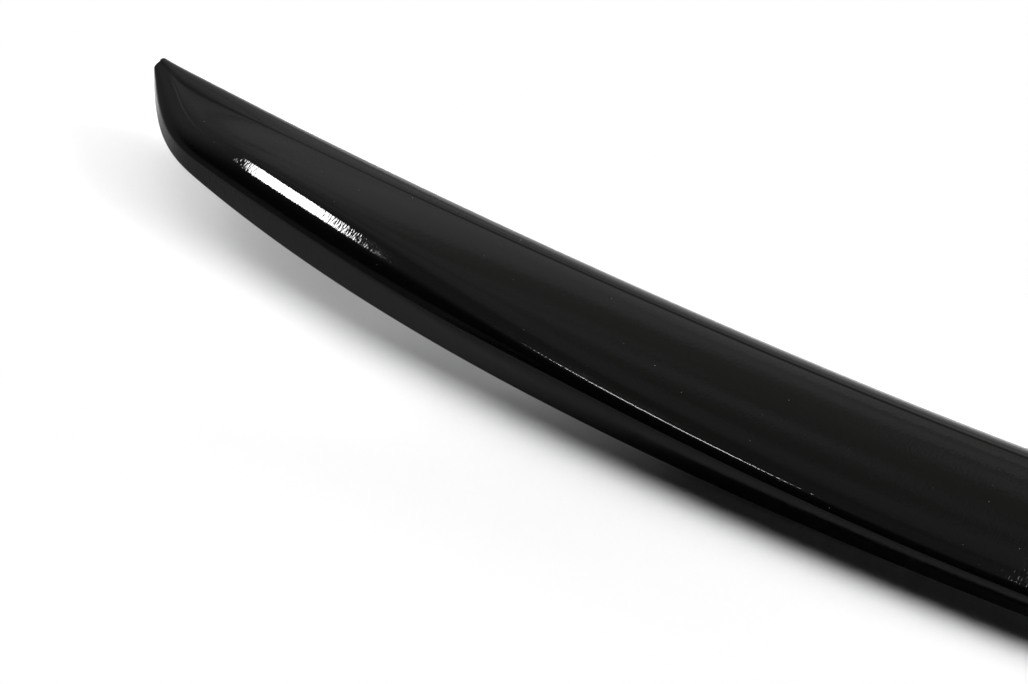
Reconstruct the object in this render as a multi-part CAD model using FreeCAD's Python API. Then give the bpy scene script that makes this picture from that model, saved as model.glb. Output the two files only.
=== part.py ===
"""One-piece moulded lip for a car body: a thin shell, open underneath.

X runs along the lip from end to end, Y from the front nose to the rear edge,
Z is up. All sizes are in millimetres and angles in degrees.
"""
import math
import os

import FreeCAD
import Part

# Length, and the straight middle that sits flat
half_length = 620.0
flat_half = 60.0

# Lower edge: how far the two ends rise above the middle
end_rise = 40.0
rise_power = 1.7

# Plan: depth at the middle, and how the two edges sweep back to the tips
middle_depth = 96.0
rear_bow = 32.3
rear_bow_power = 1.64
front_bow = 79.0
front_bow_power = 3.19

# Plan: the raked end, which turns off the front edge in a soft corner
rake_length = 81.0
rake_blend = 74.0
rake_angle = 39.0

# Section heights above the lower edge, at the middle and at the tips
nose_height_middle = 24.0
nose_height_tip = 5.9
nose_power = 4.5
crease_height_middle = 21.5
crease_height_tip = 6.7
crease_power = 3.0

# Front face: it leans out over its foot at the middle and back from a distance before the tip
lean_out_middle = 15.0
lean_back_end = 5.5
lean_end = 120.0

# Nose roll: its reach over the top panel and down the front face, and its slope on top
roll_top_middle = 7.5
roll_top_end = 11.0
roll_face_middle = 12.0
roll_face_end = 6.0
roll_slope_middle = 11.0
roll_slope_end = 15.0

# Distances from the tip between which the roll grows to its end sizes
roll_grow_start = 360.0
roll_grow_end = 150.0

# Rear rim, and the crease that sets the top panel down from it
rim_width = 19.0
hem_height = 2.5
crease_depth = 0.3
crease_run = 2.6
crease_slope = 14.0

# Distances from the tip between which the same crease comes in along the end
fade_start = 100.0
fade_end = 55.0

# Distances from the tip between which the top goes level
level_start = 120.0
level_end = 25.0

# Panel width over which the two creases run out where they meet
corner_reach = 6.0

# Shell: wall, and the length of the solid tip
wall = 3.2
solid_tip = 28.0
cut_depth = 6.0

# Fullness of the curves, and the count of flats under the top panel
rim_fullness = 0.55
rim_reach = 0.5
panel_rear_fullness = 0.26
panel_front_fullness = 0.22
roll_fullness = 0.6
inner_bevel = 0.5
panel_flats = 4
taper_sharpness = 4.0

# Stations of the sections as parts of the half length, closer at the ends
outer_stations = (0.0, 0.1, 0.2, 0.3, 0.4, 0.5, 0.6, 0.7, 0.78, 0.84, 0.885, 0.92, 0.948, 0.974, 1.0)
inner_stations = (0.0, 0.09, 0.2, 0.32, 0.45, 0.58, 0.7, 0.8, 0.88, 0.94, 0.975, 1.0)


def ease(t):
    """Smooth step from 0 to 1."""
    t = min(max(t, 0.0), 1.0)
    return t * t * (3.0 - 2.0 * t)


def ramp(t):
    """Integral of the smooth step: flat, then a soft corner, then a unit slope."""
    if t <= 0.0:
        return 0.0
    if t < 1.0:
        return t ** 3 - 0.5 * t ** 4
    return t - 0.5


def lower_edge(s):
    """Height of the lower edge at distance s from the middle."""
    run = max(s - flat_half, 0.0) / (half_length - flat_half)
    return end_rise * run ** rise_power


def taper_height(at_middle, at_tip, power, s):
    """A height that falls from the middle to the tip."""
    return at_middle - (at_middle - at_tip) * (s / half_length) ** power


def rear_edge(s):
    """Plan line of the rear edge."""
    return 0.5 * middle_depth + rear_bow * (s / half_length) ** rear_bow_power


def front_edge(s):
    """Plan line of the foot of the front face."""
    bow = front_bow * (s / half_length) ** front_bow_power
    turn = ramp((s - half_length + rake_length) / rake_blend)
    rake = math.tan(math.radians(rake_angle)) * rake_blend * turn
    return -0.5 * middle_depth + bow + rake


def stretch(s):
    """How much longer a size square to the front edge is when measured across the lip."""
    step = 0.5
    slope = (front_edge(s + step) - front_edge(s)) / step
    return math.hypot(1.0, slope)


def width(s):
    """Width of the lip in plan, from the front foot to the rear edge."""
    return max(rear_edge(s) - front_edge(s), 0.5)


def details(s):
    """Width that the rim, the creases and the nose roll take up where there is room."""
    return rim_width + lean_back_end + roll_top_end * stretch(s) + 2.0 * crease_run


def narrowing(s):
    """Factor that draws the details together where the tip gets narrow."""
    share = width(s) / details(s)
    return (1.0 + share ** -taper_sharpness) ** (-1.0 / taper_sharpness)


def corner(s):
    """Factor that takes the creases out where they meet."""
    return ease((width(s) - details(s) * narrowing(s)) / corner_reach)


def growth(s, start, end):
    """Smooth step along the length, between two distances from the tip."""
    return ease((s - half_length + start) / (start - end))


def blend(at_middle, at_end, share):
    """A size that changes from the middle to the end."""
    return at_middle + (at_end - at_middle) * share


def unit(v):
    """The same direction with length 1."""
    return v * (1.0 / v.Length)


class Section:
    """Key points and directions of the section at one place along the lip."""

    def __init__(self, x):
        s = abs(x)
        self.x = x
        self.draw = narrowing(s)
        self.base = lower_edge(s)
        rear = rear_edge(s)
        front = front_edge(s)
        swing = min(s / (half_length - lean_end), 1.0)
        lean = lean_out_middle - (lean_out_middle + lean_back_end) * 0.5 * (
            1.0 - math.cos(math.pi * swing))
        nose_height = taper_height(nose_height_middle, nose_height_tip, nose_power, s)
        crease_height = taper_height(crease_height_middle, crease_height_tip, crease_power, s)
        level = 1.0 - growth(s, level_start, level_end)
        grown = growth(s, roll_grow_start, roll_grow_end)
        crease_tilt = math.radians(crease_slope * level)
        roll_tilt = math.radians(blend(roll_slope_middle, roll_slope_end, grown) * level)

        self.rear_foot = self.at(rear, self.base)
        self.shoulder = self.at(rear, self.base + hem_height * self.draw)
        self.front_foot = self.at(front, self.base)
        self.nose = self.at(front - lean * self.draw, self.base + nose_height)
        self.up_panel = FreeCAD.Vector(0, -math.cos(crease_tilt), math.sin(crease_tilt))
        self.along_top = FreeCAD.Vector(0, math.cos(roll_tilt), math.sin(roll_tilt))
        self.down_face = unit(self.front_foot - self.nose)

        run = crease_run * self.draw
        depth = crease_depth * corner(s)
        self.rim_end = self.at(rear - rim_width * self.draw, self.base + crease_height)
        self.panel_rear = self.rim_end + self.up_panel * run
        self.panel_rear += FreeCAD.Vector(0, 0, -depth)
        self.roll_top = blend(roll_top_middle, roll_top_end, grown) * stretch(s) * self.draw
        self.roll_face = blend(roll_face_middle, roll_face_end, grown) * self.draw
        self.roll_start = self.nose + self.along_top * self.roll_top
        self.roll_end = self.nose + self.down_face * self.roll_face
        self.panel_front = self.roll_start + self.along_top * run
        self.panel_front += FreeCAD.Vector(0, 0, -depth * growth(s, fade_start, fade_end))
        self.face_wall = wall * stretch(s)

    def at(self, y, z):
        """A point in the plane of this section."""
        return FreeCAD.Vector(self.x, y, z)

    def rim_curve(self, start, end):
        """Rolled rear rim, upright at its foot and at the crease slope on top."""
        rise = end.z - start.z
        reach = start.y - end.y
        return bezier(start, start + FreeCAD.Vector(0, 0, rim_fullness * rise),
                      end - self.up_panel * (rim_reach * reach), end)

    def panel_curve(self, start, end):
        """Crowned top panel, from the crease to the nose roll."""
        span = (end - start).Length
        return bezier(start, start + self.up_panel * (panel_rear_fullness * span),
                      end + self.along_top * (panel_front_fullness * span), end)

    def roll_curve(self, start, end):
        """Nose roll from the top panel over to the front face."""
        return bezier(start, start - self.along_top * (roll_fullness * self.roll_top),
                      end - self.down_face * (roll_fullness * self.roll_face), end)

    def outer(self):
        """Closed outline of the outside, with the underside closed flat."""
        return Part.Wire([
            line(self.rear_foot, self.shoulder),
            self.rim_curve(self.shoulder, self.rim_end),
            line(self.rim_end, self.panel_rear),
            self.panel_curve(self.panel_rear, self.panel_front),
            line(self.panel_front, self.roll_start),
            self.roll_curve(self.roll_start, self.roll_end),
            line(self.roll_end, self.front_foot),
            line(self.front_foot, self.rear_foot)])

    def inner(self):
        """Closed outline of the hollow: one wall inside, and through the underside."""
        below = self.base - cut_depth
        rim = self.rim_curve(self.shoulder, self.rim_end).Curve
        tangent = rim.tangent(0.5)[0]
        foot = self.at(self.rear_foot.y - wall, below)
        bend = rim.value(0.5) + FreeCAD.Vector(0, -tangent.z, tangent.y) * wall
        crease = self.at(self.panel_rear.y, self.panel_rear.z - wall / self.up_panel.y ** 2)
        turn = self.along_top.getAngle(self.down_face)
        nose = self.nose + (self.down_face * wall + self.along_top * self.face_wall) * (
            1.0 / math.sin(turn))
        front = nose + self.down_face * ((nose.z - below) / -self.down_face.z)
        bevel_top = nose + self.along_top * (inner_bevel * self.roll_top)
        bevel_face = nose + self.down_face * (inner_bevel * self.roll_face)
        panel = self.panel_curve(crease, bevel_top).Curve
        under_panel = [panel.value(flat / panel_flats) for flat in range(panel_flats + 1)]
        corners = [foot, bend, *under_panel, bevel_face, front]
        return Part.makePolygon(corners + [foot])


def line(start, end):
    """Straight edge."""
    return Part.LineSegment(start, end).toShape()


def bezier(*poles):
    """Curved edge from its control points."""
    curve = Part.BezierCurve()
    curve.setPoles(list(poles))
    return curve.toShape()


def both_ways(stations, reach):
    """Places along X from one end to the other, the same on both sides."""
    half = [reach * share for share in stations]
    return [-s for s in reversed(half[1:])] + half


def build_lip():
    """The finished shell, centred on its box and standing on its lower edge."""
    outside = Part.makeLoft([Section(x).outer() for x in both_ways(outer_stations, half_length)], True)
    hollow_half = half_length - solid_tip
    hollow = Part.makeLoft([Section(x).inner() for x in both_ways(inner_stations, hollow_half)], True)
    lip = outside.cut(hollow).Solids[0]
    box = lip.optimalBoundingBox(False, False)
    lip.translate(FreeCAD.Vector(0, -box.Center.y, -box.ZMin))
    return lip


os.makedirs("parts", exist_ok=True)
build_lip().exportStep("parts/lip_shell.step")
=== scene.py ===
"""Gloss black lip moulding for a car body, on a white studio floor.

The moulding is one piece: a thin shell, open underneath, with a rolled rear
rim, a fine crease, a crowned top panel, a rolled nose and a front face. Sizes
of the form are in millimetres, as in the part's source, and the mesh is in
metres in the same frame.
"""
import logging
import math
from dataclasses import dataclass, field
from enum import Enum
from typing import Any, Mapping, Sequence, Union

import bmesh
import bpy
import numpy as np
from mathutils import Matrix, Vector


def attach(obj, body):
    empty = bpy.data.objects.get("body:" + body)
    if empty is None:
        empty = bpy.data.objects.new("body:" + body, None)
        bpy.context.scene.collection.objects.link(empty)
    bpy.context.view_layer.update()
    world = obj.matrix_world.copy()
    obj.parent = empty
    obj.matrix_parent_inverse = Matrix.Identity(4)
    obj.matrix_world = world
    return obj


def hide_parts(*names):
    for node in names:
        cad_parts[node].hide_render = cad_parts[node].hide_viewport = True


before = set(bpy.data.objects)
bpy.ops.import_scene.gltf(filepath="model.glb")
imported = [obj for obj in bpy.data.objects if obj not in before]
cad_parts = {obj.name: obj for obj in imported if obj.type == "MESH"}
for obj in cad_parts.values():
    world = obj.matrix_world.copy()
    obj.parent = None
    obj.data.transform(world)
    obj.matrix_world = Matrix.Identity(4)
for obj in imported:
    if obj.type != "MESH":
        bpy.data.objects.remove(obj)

log = logging.getLogger("lip")
Array = np.ndarray
MM = 0.001
# Point on the lip's left half that the floor lamps face, in metres
LEFT_HALF = (-0.25, 0.0, 0.0)


class Finish(Enum):
    """The two finishes of the moulding, in the order of its material slots."""

    GLOSS = 0
    INSIDE = 1


class LipEnd(Enum):
    """The two ends: which of its rows is the outermost, and which stands at the hollow."""

    LEFT = (0, -1)
    RIGHT = (-1, 0)


class LampRole(Enum):
    """What a lamp is for: a strip that the gloss mirrors, or light on the floor."""

    STRIP = "strip"
    FLOOR = "floor"


class Sock:
    """A value socket that takes part in arithmetic: each operation adds a Math node."""

    def __init__(self, book: "NodeBook", socket: bpy.types.NodeSocket) -> None:
        """Keep the socket and the node book that it belongs to."""
        self.book = book
        self.socket = socket

    def _math(self, operation: str, left: "Value", right: "Value") -> "Sock":
        """Add one Math node.

        Args:
            operation: the Math node's operation.
            left: first value.
            right: second value.

        Returns:
            The node's result.
        """
        return self.book.value("ShaderNodeMath", {"operation": operation}, {0: left, 1: right})

    def __add__(self, other: "Value") -> "Sock":
        """Sum."""
        return self._math("ADD", self, other)

    def __radd__(self, other: "Value") -> "Sock":
        """Sum, with the number first."""
        return self._math("ADD", other, self)

    def __sub__(self, other: "Value") -> "Sock":
        """Difference."""
        return self._math("SUBTRACT", self, other)

    def __mul__(self, other: "Value") -> "Sock":
        """Product."""
        return self._math("MULTIPLY", self, other)

    def __rmul__(self, other: "Value") -> "Sock":
        """Product, with the number first."""
        return self._math("MULTIPLY", other, self)

    def step(self, low: float, high: float) -> "Sock":
        """Smooth step from 0 at low to 1 at high.

        Args:
            low: value that gives 0; it may lie above high for a falling step.
            high: value that gives 1.

        Returns:
            The eased share.
        """
        ends = (low, high, 0.0, 1.0) if low < high else (high, low, 1.0, 0.0)
        names = ("From Min", "From Max", "To Min", "To Max")
        sockets = {"Value": self, **dict(zip(names, ends))}
        return self.book.value("ShaderNodeMapRange", {"interpolation_type": "SMOOTHSTEP"},
                               sockets, "Result")


Value = Union[Sock, float]


class NodeBook:
    """Writes the nodes of one material or world."""

    def __init__(self, tree: bpy.types.NodeTree) -> None:
        """Take the tree over and empty it."""
        self.tree = tree
        tree.nodes.clear()

    def node(self, kind: str, settings: Mapping[str, Any],
             sockets: Mapping[Any, Any]) -> bpy.types.Node:
        """Add any node.

        Args:
            kind: the node's type name.
            settings: its own settings, which are set first.
            sockets: values or links of its inputs, by name or number.

        Returns:
            The new node.
        """
        node = self.tree.nodes.new(kind)
        for name, setting in settings.items():
            setattr(node, name, setting)
        for key, given in sockets.items():
            given = given.socket if isinstance(given, Sock) else given
            if isinstance(given, bpy.types.NodeSocket):
                self.tree.links.new(given, node.inputs[key])
            else:
                node.inputs[key].default_value = given
        return node

    def value(self, kind: str, settings: Mapping[str, Any], sockets: Mapping[Any, Any],
              result: Union[str, int] = 0) -> Sock:
        """Add a node and wrap one of its results.

        Args:
            kind: the node's type name.
            settings: its own settings.
            sockets: values or links of its inputs.
            result: name or number of the output.

        Returns:
            The wrapped output.
        """
        return Sock(self, self.node(kind, settings, sockets).outputs[result])

    def noise(self, place: Sock, per_metre: float, detail: float) -> Sock:
        """Soft noise.

        Args:
            place: where it is read.
            per_metre: how many grains fall on a metre.
            detail: octaves of finer noise.

        Returns:
            Noise between 0 and 1.
        """
        sockets = {"Vector": place, "Scale": per_metre, "Detail": detail}
        return self.value("ShaderNodeTexNoise", {"noise_dimensions": "3D"}, sockets)

    def object_place(self) -> Sock:
        """Object coordinates, in metres."""
        return self.value("ShaderNodeTexCoord", {}, {}, "Object")

    def seen(self) -> Sock:
        """Where the camera looks, straight or by way of a polished or clear face.

        Returns:
            The sum of the marks of the three kinds of ray: 1 there, and 0 elsewhere.
        """
        path = self.node("ShaderNodeLightPath", {}, {})
        kinds = ("Is Camera Ray", "Is Glossy Ray", "Is Transmission Ray")
        first, second, third = (Sock(self, path.outputs[kind]) for kind in kinds)
        return first + second + third

    def parts(self, vector: Sock) -> tuple[Sock, Sock, Sock]:
        """The three parts of a vector."""
        outputs = self.node("ShaderNodeSeparateXYZ", {}, {0: vector}).outputs
        return Sock(self, outputs[0]), Sock(self, outputs[1]), Sock(self, outputs[2])

    def stretched(self, vector: Sock, factors: tuple) -> Sock:
        """A vector times a factor for each axis."""
        sockets = {0: vector, 1: factors}
        return self.value("ShaderNodeVectorMath", {"operation": "MULTIPLY"}, sockets)

    def bump(self, height: Sock) -> Sock:
        """Normal of a face with the given height in metres."""
        return self.value("ShaderNodeBump", {},
                          {"Strength": 1.0, "Distance": 1.0, "Height": height})

    def tint(self, share: Value, low: Any, high: Any) -> Sock:
        """Mix two colours.

        Args:
            share: 0 gives low and 1 gives high.
            low: colour, or a link to one.
            high: colour, or a link to one.

        Returns:
            The mixed colour.
        """
        sockets = {"Factor": share, 6: low, 7: high}
        return self.value("ShaderNodeMix", {"data_type": "RGBA"}, sockets, 2)


@dataclass(frozen=True)
class GlossBlack:
    """Polished black face: wet-looking, with a faint orange peel and a few specks of dust."""

    base: tuple = (0.002, 0.002, 0.002, 1.0)
    dust: tuple = (0.16, 0.155, 0.15, 1.0)
    roughness: float = 0.035
    haze: float = 0.05
    refraction: float = 1.2
    peel_per_metre: float = 330.0
    peel_height: float = 4.0e-6
    grain_per_metre: float = 900.0
    grain_height: float = 4.4e-5
    wave_per_metre: float = 24.0
    wave_height: float = 4.0e-5
    grain_reach: tuple = (1.0, 0.3, 0.3)
    film_per_metre: float = 9.0
    film_from: tuple = (0.45, 0.75)
    specks_per_metre: float = 45.0
    speck_share: float = 0.45
    speck_radius: float = 0.012
    speck_core: float = 0.6
    speck_roughness: float = 0.4

    def material(self) -> bpy.types.Material:
        """Write the material.

        The height is the sum of three noises: a long moulding wave, the orange
        peel and a fine grain drawn out across the lip. A thin film makes the
        gloss a little uneven. Dust sits in some cells of a cell pattern, within a
        small radius of the cell's point.

        Returns:
            The finished material.
        """
        made = bpy.data.materials.new("gloss_black")
        made.use_nodes = True
        book = NodeBook(made.node_tree)
        place = book.object_place()
        cells = book.node("ShaderNodeTexVoronoi", {"feature": "F1", "voronoi_dimensions": "2D"},
                          {"Vector": place, "Scale": self.specks_per_metre})
        core = self.speck_core * self.speck_radius
        near = Sock(book, cells.outputs["Distance"]).step(self.speck_radius, core)
        pick = book.parts(Sock(book, cells.outputs["Color"]))[0].step(1.0 - self.speck_share, 1.0)
        speck = near * pick
        film = book.noise(place, self.film_per_metre, detail=4.0).step(*self.film_from)
        across = book.stretched(place, self.grain_reach)
        height = (book.noise(place, self.wave_per_metre, detail=1.0) * self.wave_height
                  + book.noise(place, self.peel_per_metre, detail=2.0) * self.peel_height
                  + book.noise(across, self.grain_per_metre, detail=1.0) * self.grain_height)
        face = book.node("ShaderNodeBsdfPrincipled", {}, {
            "Base Color": book.tint(speck, self.base, self.dust),
            "Roughness": self.roughness + self.haze * film + self.speck_roughness * speck,
            "IOR": self.refraction,
            "Normal": book.bump(height)})
        book.node("ShaderNodeOutputMaterial", {}, {"Surface": face.outputs[0]})
        return made


@dataclass(frozen=True)
class MouldedInside:
    """Inside of the moulding: the black plastic as it leaves the mould, satin and fine grained."""

    base: tuple = (0.011, 0.011, 0.0115, 1.0)
    worn: tuple = (0.02, 0.02, 0.0205, 1.0)
    roughness: float = 0.42
    grain_per_metre: float = 900.0
    grain_height: float = 1.2e-5
    flow_per_metre: float = 18.0
    flow_reach: tuple = (0.25, 1.0, 1.0)
    flow_from: tuple = (0.35, 0.7)
    flow_haze: float = 0.12
    refraction: float = 1.46

    def material(self) -> bpy.types.Material:
        """Write the material.

        Flow marks are a noise stretched along the length, which lighten the
        colour and roughen the face; the grain is a fine noise in the height.

        Returns:
            The finished material.
        """
        made = bpy.data.materials.new("moulded_inside")
        made.use_nodes = True
        book = NodeBook(made.node_tree)
        place = book.object_place()
        along = book.stretched(place, self.flow_reach)
        flow = book.noise(along, self.flow_per_metre, detail=4.0).step(*self.flow_from)
        grain = book.noise(place, self.grain_per_metre, detail=2.0)
        face = book.node("ShaderNodeBsdfPrincipled", {}, {
            "Base Color": book.tint(flow, self.base, self.worn),
            "Roughness": self.roughness + self.flow_haze * flow,
            "IOR": self.refraction,
            "Normal": book.bump(grain * self.grain_height)})
        book.node("ShaderNodeOutputMaterial", {}, {"Surface": face.outputs[0]})
        return made


def ease(t: Array) -> Array:
    """Smooth step from 0 to 1: three t squared less two t cubed."""
    t = np.clip(t, 0.0, 1.0)
    return t * t * (3.0 - 2.0 * t)


def ramp(t: Array) -> Array:
    """Integral of the smooth step: flat, then a soft corner, then a unit slope."""
    inside = np.clip(t, 0.0, 1.0)
    return inside ** 3 - 0.5 * inside ** 4 + np.maximum(t - 1.0, 0.0)


def line(start: Array, end: Array, count: int) -> Array:
    """Points on straight lines, one line a row: start plus a share of the way to end."""
    t = np.linspace(0.0, 1.0, count)[None, :, None]
    return start[:, None, :] + (end - start)[:, None, :] * t


def bezier(poles: Sequence[Array], count: int) -> Array:
    """Points on Bezier curves, one curve a row.

    Each point is the sum of the poles weighted by the Bernstein polynomials of
    the share t along the curve.

    Args:
        poles: control points, each an array of one point a row.
        count: points on each curve.

    Returns:
        Array of rows by count by two.
    """
    t = np.linspace(0.0, 1.0, count)
    top = len(poles) - 1
    weights = [math.comb(top, i) * t ** i * (1.0 - t) ** (top - i) for i in range(top + 1)]
    return sum(pole[:, None, :] * weight[None, :, None] for pole, weight in zip(poles, weights))


def blend(at_middle: float, at_end: float, share: Array) -> Array:
    """A size that goes from its middle value to its end value by a share."""
    return at_middle + (at_end - at_middle) * share


def scaled(vector: Array, length: Array) -> Array:
    """Vectors, one a row, times a length for each row."""
    return vector * np.asarray(length)[:, None]


@dataclass(frozen=True)
class LipForm:
    """The form of the lip in millimetres and degrees, the same as in the part's source."""

    half_length: float = 620.0
    flat_half: float = 60.0
    end_rise: float = 40.0
    rise_power: float = 1.7
    middle_depth: float = 96.0
    rear_bow: float = 32.3
    rear_bow_power: float = 1.64
    front_bow: float = 79.0
    front_bow_power: float = 3.19
    rake_length: float = 81.0
    rake_blend: float = 74.0
    rake_angle: float = 39.0
    nose_height_middle: float = 24.0
    nose_height_tip: float = 5.9
    crease_height_middle: float = 21.5
    crease_height_tip: float = 6.7
    nose_power: float = 4.5
    crease_power: float = 3.0
    lean_out_middle: float = 15.0
    lean_back_end: float = 5.5
    lean_end: float = 120.0
    roll_top_middle: float = 7.5
    roll_top_end: float = 11.0
    roll_grow_start: float = 360.0
    roll_grow_end: float = 150.0
    roll_face_middle: float = 12.0
    roll_face_end: float = 6.0
    roll_slope_middle: float = 11.0
    roll_slope_end: float = 15.0
    rim_width: float = 19.0
    hem_height: float = 2.5
    crease_depth: float = 0.3
    crease_run: float = 2.6
    crease_slope: float = 14.0
    fade_start: float = 100.0
    fade_end: float = 55.0
    level_start: float = 120.0
    level_end: float = 25.0
    corner_reach: float = 6.0
    wall: float = 3.2
    solid_tip: float = 28.0
    rim_fullness: float = 0.55
    rim_reach: float = 0.5
    panel_rear_fullness: float = 0.26
    panel_front_fullness: float = 0.22
    roll_fullness: float = 0.6
    inner_bevel: float = 0.5
    taper_sharpness: float = 4.0
    crease_fullness: float = 0.42
    edge_round: float = 0.6

    def lower_edge(self, s: Array) -> Array:
        """Height of the lower edge at distance s from the middle: a power past the flat."""
        run = np.maximum(s - self.flat_half, 0.0) / (self.half_length - self.flat_half)
        return self.end_rise * run ** self.rise_power

    def taper(self, at_middle: float, at_tip: float, power: float, s: Array) -> Array:
        """A height that falls from the middle to the tip with a power of s."""
        return at_middle - (at_middle - at_tip) * (s / self.half_length) ** power

    def rear_edge(self, s: Array) -> Array:
        """Plan line of the rear edge: half the depth plus a bow with a power of s."""
        bow = self.rear_bow * (s / self.half_length) ** self.rear_bow_power
        return 0.5 * self.middle_depth + bow

    def front_edge(self, s: Array) -> Array:
        """Plan line of the foot of the front face.

        It is a bow with a power of s, plus the raked end, which turns off at the
        rake angle past a soft corner.

        Args:
            s: distances from the middle.

        Returns:
            How far back the foot lies at each of them.
        """
        bow = self.front_bow * (s / self.half_length) ** self.front_bow_power
        turn = (s - (self.half_length - self.rake_length)) / self.rake_blend
        rake = math.tan(math.radians(self.rake_angle)) * self.rake_blend * ramp(turn)
        return bow + rake - 0.5 * self.middle_depth

    def stretch(self, s: Array) -> Array:
        """Hypotenuse of 1 and the front edge's slope: a size square to that edge, taken across."""
        step = 0.5
        return np.hypot(1.0, (self.front_edge(s + step) - self.front_edge(s)) / step)

    def details(self, s: Array) -> Array:
        """Width that the rim, the creases and the nose roll take up where there is room."""
        return (self.rim_width + self.lean_back_end + self.roll_top_end * self.stretch(s)
                + 2.0 * self.crease_run)

    def width(self, s: Array) -> Array:
        """Width of the lip in plan, from the front foot to the rear edge."""
        return np.maximum(self.rear_edge(s) - self.front_edge(s), 0.5)

    def narrowing(self, s: Array) -> Array:
        """Factor that draws the details together: a soft minimum of 1 and the width's share."""
        share = self.width(s) / self.details(s)
        return (1.0 + share ** -self.taper_sharpness) ** (-1.0 / self.taper_sharpness)

    def corner(self, s: Array) -> Array:
        """Factor that fades the creases where they meet: a smooth step of the width left over."""
        return ease((self.width(s) - self.details(s) * self.narrowing(s)) / self.corner_reach)

    def growth(self, s: Array, start: float, end: float) -> Array:
        """Smooth step along the length, between two distances from the tip."""
        return ease((s - self.half_length + start) / (start - end))


@dataclass(frozen=True)
class PointCounts:
    """How many points each run of a section has."""

    edge: int = 5
    hem: int = 3
    rim: int = 26
    crease: int = 9
    panel: int = 40
    roll: int = 26
    face: int = 10
    inner_link: int = 3
    inner_rim: int = 14
    inner_panel: int = 22
    inner_nose: int = 7
    inner_face: int = 4


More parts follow.
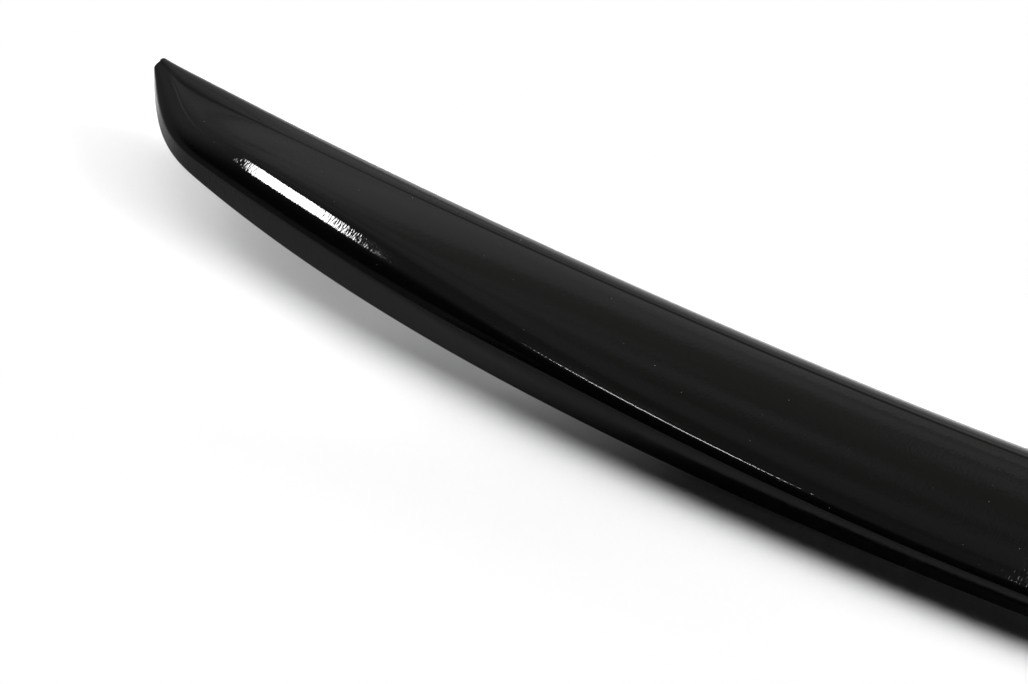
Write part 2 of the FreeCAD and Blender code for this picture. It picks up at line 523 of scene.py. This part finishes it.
class LipSections:
    """Key points of many sections of the lip at once, one section a row."""

    counts = PointCounts()

    def __init__(self, form: LipForm, x: Array) -> None:
        """Work out the key points.

        The front face swings from leaning out to leaning back along half a
        cosine. Along the length, smooth steps make the roll grow, the top go
        level and the crease of the end come in.

        Args:
            form: sizes of the lip.
            x: places along the lip, in millimetres.
        """
        self.form = form
        s = np.abs(x)
        self.draw = form.narrowing(s)
        self.base = form.lower_edge(s)
        rear = form.rear_edge(s)
        front = form.front_edge(s)
        swing = np.minimum(s / (form.half_length - form.lean_end), 1.0)
        lean = form.lean_out_middle - (form.lean_out_middle + form.lean_back_end) * 0.5 * (
            1.0 - np.cos(np.pi * swing))
        nose_height = form.taper(form.nose_height_middle, form.nose_height_tip,
                                 form.nose_power, s)
        crease_height = form.taper(form.crease_height_middle, form.crease_height_tip,
                                   form.crease_power, s)
        level = 1.0 - form.growth(s, form.level_start, form.level_end)
        grown = form.growth(s, form.roll_grow_start, form.roll_grow_end)
        roll_slope = blend(form.roll_slope_middle, form.roll_slope_end, grown)
        crease_tilt = np.radians(form.crease_slope * level)
        roll_tilt = np.radians(roll_slope * level)
        self.nose = np.stack([front - lean * self.draw, self.base + nose_height], -1)
        self.front_foot = np.stack([front, self.base], -1)
        self.rear_foot = np.stack([rear, self.base], -1)
        self.shoulder = self.rear_foot + self.up(form.hem_height * self.draw)
        self.up_panel = np.stack([-np.cos(crease_tilt), np.sin(crease_tilt)], -1)
        self.along_top = np.stack([np.cos(roll_tilt), np.sin(roll_tilt)], -1)
        face = self.front_foot - self.nose
        self.down_face = face / np.linalg.norm(face, axis=-1, keepdims=True)
        self.run = form.crease_run * self.draw
        depth = form.crease_depth * form.corner(s)
        self.rim_end = np.stack([rear - form.rim_width * self.draw,
                                 self.base + crease_height], -1)
        self.panel_rear = self.rim_end + scaled(self.up_panel, self.run) - self.up(depth)
        roll_top = blend(form.roll_top_middle, form.roll_top_end, grown)
        roll_face = blend(form.roll_face_middle, form.roll_face_end, grown)
        self.roll_top = roll_top * form.stretch(s) * self.draw
        self.roll_face = roll_face * self.draw
        self.roll_start = self.nose + scaled(self.along_top, self.roll_top)
        self.roll_end = self.nose + scaled(self.down_face, self.roll_face)
        self.panel_front = self.roll_start + scaled(self.along_top, self.run) - self.up(
            depth * form.growth(s, form.fade_start, form.fade_end))
        self.face_wall = form.wall * form.stretch(s)

    def up(self, height: Array) -> Array:
        """Upright vectors of the given heights, one a row."""
        return np.stack([np.zeros_like(height), height], -1)

    def along(self, length: Array) -> Array:
        """Level vectors of the given lengths towards the rear, one a row."""
        return np.stack([length, np.zeros_like(length)], -1)

    def rim_poles(self) -> list[Array]:
        """Control points of the rear rim, upright at its foot and at the crease slope on top.

        Returns:
            Four control points, each an array of one point a row.
        """
        span = self.rim_end - self.shoulder
        above = self.shoulder + self.up(self.form.rim_fullness * span[:, 1])
        behind = self.rim_end + scaled(self.up_panel, self.form.rim_reach * span[:, 0])
        return [self.shoulder, above, behind, self.rim_end]

    def panel_poles(self, start: Array, end: Array) -> list[Array]:
        """Control points of the crowned panel, which follows the slope of what it meets.

        Args:
            start: points at the crease.
            end: points at the nose roll.

        Returns:
            Four control points, each an array of one point a row.
        """
        span = np.linalg.norm(end - start, axis=-1)
        return [start, start + scaled(self.up_panel, self.form.panel_rear_fullness * span),
                end + scaled(self.along_top, self.form.panel_front_fullness * span), end]

    def outer(self) -> Array:
        """The outside, from under the rear foot, over the top, to under the front foot.

        In order: the rounded rear edge, the rim, the crease as a soft step, the
        panel, the crease of the end, the nose roll, the front face and the
        rounded front edge.

        Returns:
            Array of sections by points by two, y and z in millimetres.
        """
        form, counts = self.form, self.counts
        edge = form.edge_round * self.draw
        soft = form.crease_fullness * self.run
        rear_top = self.rear_foot + self.up(edge)
        rear_turn = [self.rear_foot - self.along(edge), self.rear_foot, rear_top]
        front_top = self.front_foot - scaled(self.down_face, edge)
        front_turn = [front_top, self.front_foot, self.front_foot + self.along(edge)]
        crease = [self.rim_end, self.rim_end + scaled(self.up_panel, soft),
                  self.panel_rear - scaled(self.up_panel, soft), self.panel_rear]
        end_crease = [self.panel_front, self.panel_front - scaled(self.along_top, soft),
                      self.roll_start + scaled(self.along_top, soft), self.roll_start]
        forward = scaled(self.along_top, form.roll_fullness * self.roll_top)
        down = scaled(self.down_face, form.roll_fullness * self.roll_face)
        roll = [self.roll_start, self.roll_start - forward, self.roll_end - down, self.roll_end]
        panel = self.panel_poles(self.panel_rear, self.panel_front)
        runs = [bezier(rear_turn, counts.edge),
                line(rear_top, self.shoulder, counts.hem)[:, 1:],
                bezier(self.rim_poles(), counts.rim)[:, 1:],
                bezier(crease, counts.crease)[:, 1:],
                bezier(panel, counts.panel)[:, 1:],
                bezier(end_crease, counts.crease)[:, 1:],
                bezier(roll, counts.roll)[:, 1:],
                line(self.roll_end, front_top, counts.face)[:, 1:],
                bezier(front_turn, counts.edge)[:, 1:]]
        return np.concatenate(runs, axis=1)

    def inner(self) -> Array:
        """The hollow, from its rear foot, under the top, to its front foot.

        The rear is the rim curve set in by the wall along its normal; the panel
        is set down by the wall, and the inner nose is a soft corner.

        Returns:
            Array of sections by points by two, y and z in millimetres.
        """
        form, counts = self.form, self.counts
        poles = self.rim_poles()
        legs = [after - before for before, after in zip(poles[:-1], poles[1:])]
        along = bezier(legs, counts.inner_rim)
        along = along / np.linalg.norm(along, axis=-1, keepdims=True)
        inwards = np.stack([-along[..., 1], along[..., 0]], -1)
        rim = bezier(poles, counts.inner_rim) + form.wall * inwards
        foot = self.rear_foot - self.along(np.full_like(self.base, form.wall))
        crease = self.panel_rear - self.up(form.wall / self.up_panel[:, 0] ** 2)
        turn = np.arccos(np.clip((self.along_top * self.down_face).sum(-1), -1.0, 1.0))
        nose = self.nose + scaled(scaled(self.down_face, np.full_like(turn, form.wall))
                                  + scaled(self.along_top, self.face_wall), 1.0 / np.sin(turn))
        top = nose + scaled(self.along_top, form.inner_bevel * self.roll_top)
        face = nose + scaled(self.down_face, form.inner_bevel * self.roll_face)
        front = nose + scaled(self.down_face, (self.base - nose[:, 1]) / self.down_face[:, 1])
        runs = [line(foot, rim[:, 0], counts.inner_link), rim[:, 1:],
                line(rim[:, -1], crease, counts.inner_link)[:, 1:],
                bezier(self.panel_poles(crease, top), counts.inner_panel)[:, 1:],
                bezier([top, nose, face], counts.inner_nose)[:, 1:],
                line(face, front, counts.inner_face)[:, 1:]]
        return np.concatenate(runs, axis=1)


class PointGrids:
    """Points of the moulding, collected grid by grid."""

    def __init__(self) -> None:
        """Start with no point."""
        self.runs: list[Array] = []
        self.count = 0

    def add(self, x: Array, sections: Array) -> Array:
        """Add one grid of points.

        Args:
            x: places along the lip, one for each section.
            sections: sections by points by two, y and z.

        Returns:
            The number of each point, sections by points.
        """
        along = np.broadcast_to(x[:, None, None], sections.shape[:2] + (1,))
        self.runs.append(np.concatenate([along, sections], -1).reshape(-1, 3))
        ids = np.arange(along.size).reshape(sections.shape[:2]) + self.count
        self.count += ids.size
        return ids


@dataclass
class LipMoulding:
    """The whole moulding: outside, hollow, lower edges and the two solid tips."""

    form: LipForm = field(default_factory=LipForm)
    gloss: GlossBlack = field(default_factory=GlossBlack)
    inside: MouldedInside = field(default_factory=MouldedInside)
    hollow_steps: int = 190
    tip_steps: int = 22
    crowding: float = 1.35
    tip_round: float = 0.7
    tip_turns: tuple = (25.0, 50.0, 72.0, 90.0)
    weld: float = 2.0e-6
    sharp_angle: float = 42.0
    name: str = "lip_skin"
    node: str = "lip_shell"
    slot: str = "lip_black"

    def places(self) -> tuple[Array, int]:
        """Places along the lip, closer towards the ends.

        Returns:
            The places in millimetres from end to end, and how many lie past the
            hollow on one side.
        """
        hollow = self.form.half_length - self.form.solid_tip
        u = np.linspace(0.0, 1.0, self.hollow_steps)
        middle = hollow * (1.0 - (1.0 - u) ** self.crowding)
        last = self.form.half_length - self.tip_round
        tip = np.linspace(hollow, last, self.tip_steps)[1:]
        turn = np.radians(np.array(self.tip_turns))
        half = np.concatenate([middle, tip, last + self.tip_round * np.sin(turn)])
        return np.concatenate([-half[:0:-1], half]), len(tip) + len(turn)

    def rounded(self, x: Array, points: Array) -> Array:
        """Draw the last sections in, so that the edge of each end face is round.

        Past the last full section the inset follows a quarter circle, and the
        section is scaled about the middle of its box by that inset.

        Args:
            x: places along the lip.
            points: sections by points by two.

        Returns:
            The same sections with the last ones drawn in.
        """
        past = np.maximum(np.abs(x) - (self.form.half_length - self.tip_round), 0.0)
        inset = self.tip_round - np.sqrt(np.maximum(self.tip_round ** 2 - past ** 2, 0.0))
        low = points.min(axis=1, keepdims=True)
        high = points.max(axis=1, keepdims=True)
        middle = 0.5 * (low + high)
        factor = 1.0 - 2.0 * inset[:, None, None] / (high - low)
        return middle + (points - middle) * factor

    @staticmethod
    def quads(grid: Array, flip: bool = False) -> Array:
        """Faces of a grid of vertex numbers.

        Args:
            grid: vertex numbers, rows along the lip and columns across it.
            flip: turn the faces round.

        Returns:
            One face of four numbers a row.
        """
        corners = [grid[:-1, :-1], grid[:-1, 1:], grid[1:, 1:], grid[1:, :-1]]
        return np.stack([corner.ravel() for corner in (corners[::-1] if flip else corners)], -1)

    @staticmethod
    def under_tip(outer: Array, wall: Array, near: int) -> Array:
        """Underside of a solid tip.

        Each section goes straight across from the rear foot to the front foot,
        with its points spaced as those of the hollow's last section are.

        Args:
            outer: sections of the outside along the tip.
            wall: the hollow's last section.
            near: which of the outer sections stands at the hollow.

        Returns:
            Array of sections by points by two.
        """
        rear, front = outer[near, 0, 0], outer[near, -1, 0]
        share = (wall[:, 0] - rear) / (front - rear)
        reach = (outer[:, -1] - outer[:, 0])[:, None, :]
        return outer[:, 0][:, None, :] + reach * share[:, None]

    def build(self) -> bpy.types.Object:
        """Make the mesh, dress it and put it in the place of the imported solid.

        The outside and the hollow are two grids, joined by a strip along each
        lower edge. At each solid tip an underside, a wall at the end of the hollow
        and a cap close the form.

        Returns:
            The finished piece.
        """
        x, past = self.places()
        hollow = slice(past, len(x) - past)
        outer = self.rounded(x, LipSections(self.form, x).outer())
        inner = LipSections(self.form, x[hollow]).inner()
        grids = PointGrids()
        outside = grids.add(x, outer)
        inside = grids.add(x[hollow], inner)
        rear_hem = np.stack([inside[:, 0], outside[hollow, 0]], -1)
        front_hem = np.stack([outside[hollow, -1], inside[:, -1]], -1)
        satin = [self.quads(inside, flip=True), self.quads(rear_hem), self.quads(front_hem)]
        caps = []
        for end in LipEnd:
            tip, near = end.value
            left = end is LipEnd.LEFT
            rows = np.arange(past + 1) if left else np.arange(len(x) - past - 1, len(x))
            under = grids.add(x[rows], self.under_tip(outer[rows], inner[tip], near))
            across = [outside[rows, -1:], under[:, ::-1], outside[rows, :1]]
            satin.append(self.quads(np.concatenate(across, axis=1)))
            satin.append(self.quads(np.stack([inside[tip], under[near]]), flip=not left))
            ring = np.concatenate([outside[rows[tip]], under[tip, ::-1]])
            caps.append((ring[::-1] if left else ring).tolist())
        gloss = self.quads(outside).tolist() + caps
        faces = gloss + np.concatenate(satin).tolist()
        return self.piece(np.concatenate(grids.runs), faces, len(gloss))

    def piece(self, points: Array, faces: list, gloss_faces: int) -> bpy.types.Object:
        """Turn points and faces into the dressed piece.

        Args:
            points: places in millimetres, in the frame of the form.
            faces: vertex numbers of each face, the gloss ones first.
            gloss_faces: how many faces have the gloss finish.

        Returns:
            The piece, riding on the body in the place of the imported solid.
        """
        low, high = points.min(axis=0), points.max(axis=0)
        shift = np.array([0.0, -0.5 * (low[1] + high[1]), -low[2]])
        mesh = bpy.data.meshes.new(self.name)
        mesh.from_pydata(((points + shift) * MM).tolist(), [], faces)
        slots = np.full(len(faces), Finish.INSIDE.value, dtype=np.int32)
        slots[:gloss_faces] = Finish.GLOSS.value
        mesh.polygons.foreach_set("material_index", slots)
        mesh.materials.append(self.gloss.material())
        mesh.materials.append(self.inside.material())
        work = bmesh.new()
        work.from_mesh(mesh)
        bmesh.ops.remove_doubles(work, verts=work.verts, dist=self.weld)
        work.to_mesh(mesh)
        work.free()
        mesh.polygons.foreach_set("use_smooth", np.ones(len(mesh.polygons), dtype=bool))
        mesh.set_sharp_from_angle(angle=math.radians(self.sharp_angle))
        mesh.update()
        piece = bpy.data.objects.new(self.name, mesh)
        bpy.context.scene.collection.objects.link(piece)
        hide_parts(self.node)
        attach(piece, "root")
        return piece


@dataclass(frozen=True)
class SoftLamp:
    """A rectangular soft lamp, which hangs level unless it is aimed at a point."""

    name: str
    place: tuple
    size: tuple
    glow: float
    role: LampRole
    aim: tuple = ()

    def build(self) -> bpy.types.Object:
        """Hang the lamp.

        Its power is its glow, the light that leaves each part of its face, times
        its area times pi. A strip shows in polished faces only, and a floor lamp
        lights matt faces only.

        Returns:
            The lamp.
        """
        lamp = bpy.data.lights.new(self.name, "AREA")
        lamp.shape = "RECTANGLE"
        lamp.size, lamp.size_y = self.size
        lamp.energy = self.glow * math.pi * self.size[0] * self.size[1]
        made = bpy.data.objects.new(self.name, lamp)
        made.location = self.place
        if self.aim:
            ahead = Vector(self.aim) - Vector(self.place)
            made.rotation_euler = ahead.to_track_quat("-Z", "Y").to_euler()
        made.visible_camera = False
        made.visible_diffuse = self.role is LampRole.FLOOR
        made.visible_glossy = self.role is LampRole.STRIP
        bpy.context.scene.collection.objects.link(made)
        return made


@dataclass(frozen=True)
class Room:
    """The dim room around the lip, as a colour for each direction.

    A pair of numbers tells where a share goes from 0 to 1, on the axis in its
    name or, for an edge of the wall or the right, on a mix of x less y. The mix
    gives how much of x and how much of y.
    """

    dark: tuple = (0.012, 0.012, 0.012, 1.0)
    far: tuple = (1.06, 1.07, 1.06, 1.0)
    high: tuple = (0.68, 0.7, 0.69, 1.0)
    left: tuple = (0.4, 0.41, 0.405, 1.0)
    right: tuple = (0.02, 0.02, 0.02, 1.0)
    warm: tuple = (0.27, 0.26, 0.21, 1.0)
    light: float = 0.2
    patches: float = 4.0
    patch_reach: tuple = (1.0, 1.0, 2.5)
    patch_edge: tuple = (0.42, 0.62)
    patch_y: tuple = (0.2, 0.5)
    patch_share: float = 0.62
    high_y: tuple = (-0.2, 0.6)
    left_x: tuple = (-0.15, -0.52)
    rim_y: tuple = (-0.6, -0.1)
    rim_z: tuple = (0.5, 0.05)
    wall_mix: tuple = (0.6, 0.8)
    wall_edge: tuple = (0.32, 0.24)
    wall_x: tuple = (-0.45, -0.6)
    wall_z: tuple = (0.6, 0.45)
    right_mix: tuple = (0.8, 0.6)
    right_edge: tuple = (0.3, 0.8)

    def build(self) -> bpy.types.World:
        """Light the room.

        The far side glows near the horizon, with soft warm patches, and dims
        upwards; the left is a pale wall up to a certain height, the side of the
        camera is dark, and the right is dim. Matt faces get a share of the light
        that the camera and polished faces see.

        Returns:
            The world.
        """
        world = bpy.data.worlds.new("room")
        world.use_nodes = True
        book = NodeBook(world.node_tree)
        towards = book.value("ShaderNodeTexCoord", {}, {}, "Generated")
        x, y, z = book.parts(towards)
        spots = book.noise(book.stretched(towards, self.patch_reach), self.patches, detail=2.0)
        patch = spots.step(*self.patch_edge) * y.step(*self.patch_y)
        aside = self.wall_mix[0] * x - self.wall_mix[1] * y
        wall = aside.step(*self.wall_edge) * x.step(*self.wall_x) * z.step(*self.wall_z)
        high = book.tint(y.step(*self.high_y), self.dark, self.high)
        far = book.tint(x.step(*self.left_x), self.far, self.left)
        rim = book.tint(y.step(*self.rim_y), self.dark, far)
        around = book.tint(z.step(*self.rim_z), high, rim)
        back = book.tint(self.patch_share * patch, around, self.warm)
        sides = book.tint(wall, back, self.left)
        rightwards = self.right_mix[0] * x - self.right_mix[1] * y
        colour = book.tint(rightwards.step(*self.right_edge), sides, self.right)
        strength = self.light + (1.0 - self.light) * book.seen()
        glow = book.node("ShaderNodeBackground", {}, {"Color": colour, "Strength": strength})
        book.node("ShaderNodeOutputWorld", {}, {"Surface": glow.outputs[0]})
        bpy.context.scene.world = world
        return world


@dataclass
class Studio:
    """White floor, lamps that the gloss mirrors, lamps that light the floor, and the room."""

    floor_colour: tuple = (0.97, 0.97, 0.97, 1.0)
    white: tuple = (1.0, 1.0, 1.0, 1.0)
    floor_half: float = 20.0
    lip_half: float = LipForm.half_length * MM
    plain_from: tuple = (0.09, 0.17)
    room: Room = field(default_factory=Room)
    lamps: tuple = (
        SoftLamp("strip_far_left", (-1.455, 0.44, 1.5), (0.33, 0.4), 135.0, LampRole.STRIP),
        SoftLamp("strip_left", (-0.67, 0.44, 1.5), (0.28, 0.06), 135.0, LampRole.STRIP),
        SoftLamp("strip_right", (-0.08, 0.44, 1.5), (0.28, 0.06), 135.0, LampRole.STRIP),
        SoftLamp("strip_front", (0.75, -1.5, 1.2), (1.2, 0.5), 4.0,
                 LampRole.STRIP, (0.1, 0.0, 0.0)),
        SoftLamp("strip_over", (0.75, 0.12, 1.6), (0.4, 0.2), 36.0, LampRole.STRIP),
        SoftLamp("strip_back", (0.3, 0.9, 1.5), (1.0, 1.0), 10.5, LampRole.STRIP),
        SoftLamp("key_right", (1.172, 0.381, 0.85), (0.6, 0.8), 21.3,
                 LampRole.FLOOR, LEFT_HALF),
        SoftLamp("key_left", (-1.793, 0.413, 0.581), (0.5, 0.7), 14.8,
                 LampRole.FLOOR, LEFT_HALF),
        SoftLamp("key_high_left", (-1.136, 0.512, 1.358), (0.96, 0.278), 6.8,
                 LampRole.FLOOR, LEFT_HALF),
        SoftLamp("key_high_right", (0.249, 0.349, 1.587), (0.533, 0.8), 2.9,
                 LampRole.FLOOR, LEFT_HALF),
        SoftLamp("low_back", (-0.398, 1.687, 0.148), (0.225, 0.133), 510.0,
                 LampRole.FLOOR, LEFT_HALF),
        SoftLamp("low_right", (0.597, 1.467, 0.148), (0.2, 0.2), 510.0,
                 LampRole.FLOOR, LEFT_HALF))

    def build_floor(self) -> bpy.types.Object:
        """Lay the floor.

        It is matt white and takes the lip's shadow. Away from the lip's middle
        line, what the camera and polished faces see of it turns to an even white.

        Returns:
            The floor.
        """
        made = bpy.data.materials.new("white_floor")
        made.use_nodes = True
        book = NodeBook(made.node_tree)
        x, y, _ = book.parts(book.object_place())
        past = book.value("ShaderNodeMath", {"operation": "ABSOLUTE"}, {0: x}) - self.lip_half
        out = book.value("ShaderNodeMath", {"operation": "MAXIMUM"}, {0: past, 1: 0.0})
        offset = book.value("ShaderNodeCombineXYZ", {}, {"X": out, "Y": y})
        away = book.value("ShaderNodeVectorMath", {"operation": "LENGTH"}, {0: offset}, "Value")
        matt = book.node("ShaderNodeBsdfDiffuse", {}, {"Color": self.floor_colour})
        plain = book.node("ShaderNodeEmission", {}, {"Color": self.white, "Strength": 1.0})
        share = book.seen() * away.step(*self.plain_from)
        mix = book.node("ShaderNodeMixShader", {},
                        {0: share, 1: matt.outputs[0], 2: plain.outputs[0]})
        book.node("ShaderNodeOutputMaterial", {}, {"Surface": mix.outputs[0]})
        half = self.floor_half
        mesh = bpy.data.meshes.new("floor")
        corners = [(-half, -half, 0.0), (half, -half, 0.0), (half, half, 0.0), (-half, half, 0.0)]
        mesh.from_pydata(corners, [], [(0, 1, 2, 3)])
        mesh.materials.append(made)
        floor = bpy.data.objects.new("floor", mesh)
        bpy.context.scene.collection.objects.link(floor)
        return floor

    def build(self) -> None:
        """Lay the floor, light the room and hang the lamps."""
        self.build_floor()
        self.room.build()
        made = [lamp.build() for lamp in self.lamps]
        log.info("studio: floor, room and %d lamps", len(made))


@dataclass(frozen=True)
class PhotoCamera:
    """The camera: it looks at a point on the lip's left half from above and in front."""

    target: tuple = (-0.335, -0.0081, 0.0)
    azimuth: float = 30.5
    elevation: float = 39.5
    distance: float = 1.052
    lens: float = 70.0
    film_width: float = 36.0
    nearest: float = 0.01

    def build(self) -> bpy.types.Object:
        """Set the camera up.

        It stands at its distance from the target, back along the line of sight,
        and its upright stays upright in the picture.

        Returns:
            The camera.
        """
        data = bpy.data.cameras.new("camera")
        data.lens = self.lens
        data.sensor_fit = "HORIZONTAL"
        data.sensor_width = self.film_width
        data.clip_start = self.nearest
        camera = bpy.data.objects.new("camera", data)
        turn, rise = math.radians(self.azimuth), math.radians(self.elevation)
        level = math.cos(rise)
        back = np.array([math.sin(turn) * level, -math.cos(turn) * level, math.sin(rise)])
        camera.location = (np.array(self.target) + self.distance * back).tolist()
        camera.rotation_euler = (math.radians(90.0) - rise, 0.0, turn)
        bpy.context.scene.collection.objects.link(camera)
        bpy.context.scene.camera = camera
        return camera


def main() -> None:
    """Build the moulding, the studio and the camera in order."""
    logging.basicConfig(level=logging.INFO, format="%(name)s: %(message)s")
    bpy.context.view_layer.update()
    bpy.context.scene.view_settings.view_transform = "Standard"
    moulding = LipMoulding()
    lip = moulding.build()
    log.info("%s: %d faces in place of %s", lip.name, len(lip.data.polygons), moulding.node)
    Studio().build()
    PhotoCamera().build()
    log.info("camera set")


if __name__ == "__main__":
    main()
